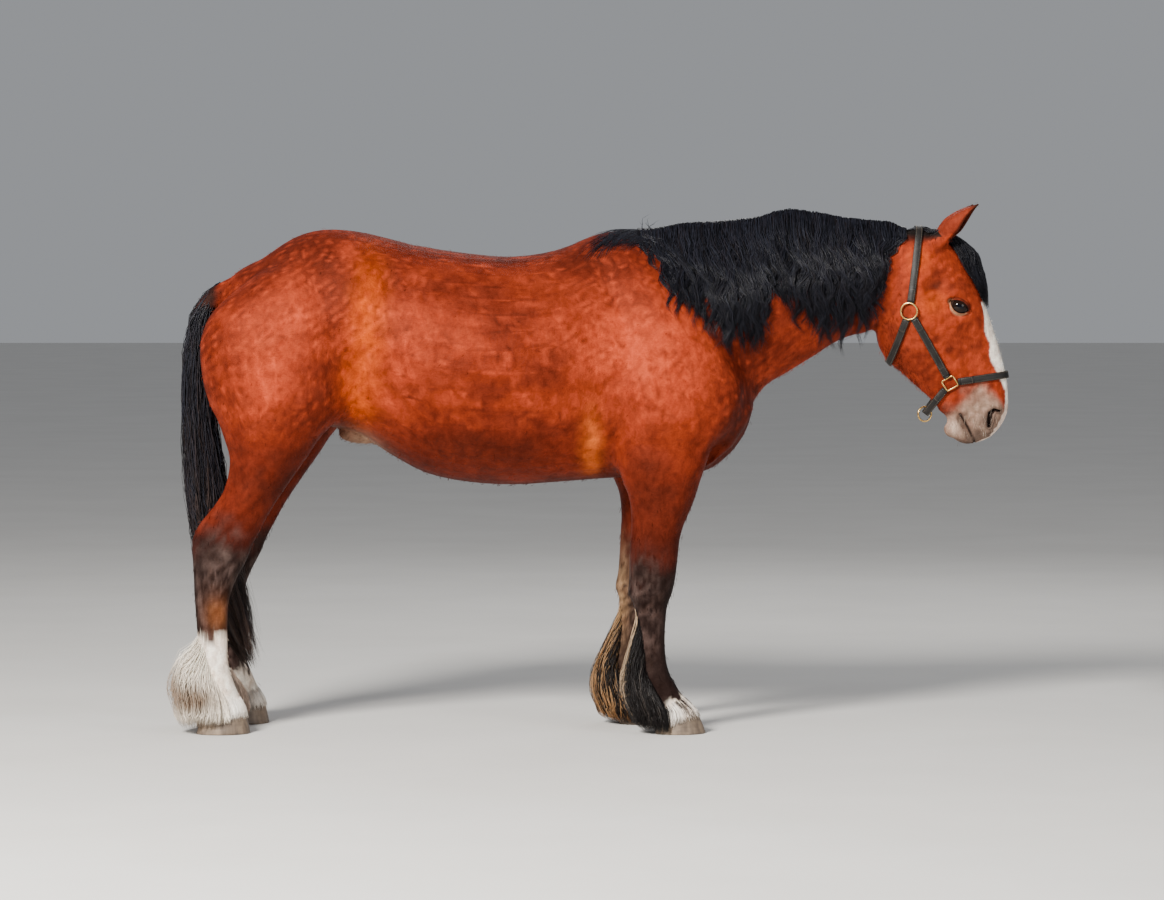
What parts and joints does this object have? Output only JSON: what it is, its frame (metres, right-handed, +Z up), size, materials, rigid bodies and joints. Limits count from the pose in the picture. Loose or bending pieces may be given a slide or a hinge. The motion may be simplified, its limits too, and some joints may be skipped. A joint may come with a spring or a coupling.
{
  "type": "heavy horse model",
  "caption": "Life-size still model of a bay heavy horse standing square, with black mane and tail, feathered legs and a leather headcollar.",
  "frame": {"origin": "on the ground under the middle of the model's bounding box", "axes": "+X towards the head, +Y towards the horse's left side, +Z up"},
  "size_m": [2.7902, 0.6571, 1.7496],
  "materials": {
    "coat": "short bay hair",
    "long_hair": "long black hair",
    "hoof_horn": "rough dark horn",
    "eye": "wet dark brown",
    "leather": "worn, oiled",
    "brass": "polished, a little dull"
  },
  "bodies": {
    "root": {"head": "coat", "neck": "coat", "torso": "coat", "tail": "long_hair", "leg_front_right": "coat", "leg_front_left": "coat", "leg_hind_right": "coat", "leg_hind_left": "coat", "hoof_front_right": "hoof_horn", "hoof_front_left": "hoof_horn", "hoof_hind_right": "hoof_horn", "hoof_hind_left": "hoof_horn", "ear_right": "coat", "ear_left": "coat", "eye_right": "eye", "eye_left": "eye", "headcollar_crown": "leather", "headcollar_throat": "leather", "headcollar_nose": "leather", "headcollar_chin": "leather", "headcollar_cheek_right": "leather", "headcollar_cheek_left": "leather", "headcollar_ring_right": "brass", "headcollar_ring_left": "brass", "headcollar_square_right": "brass", "headcollar_square_left": "brass", "headcollar_ring_chin": "brass"}
  },
  "joints": []
}
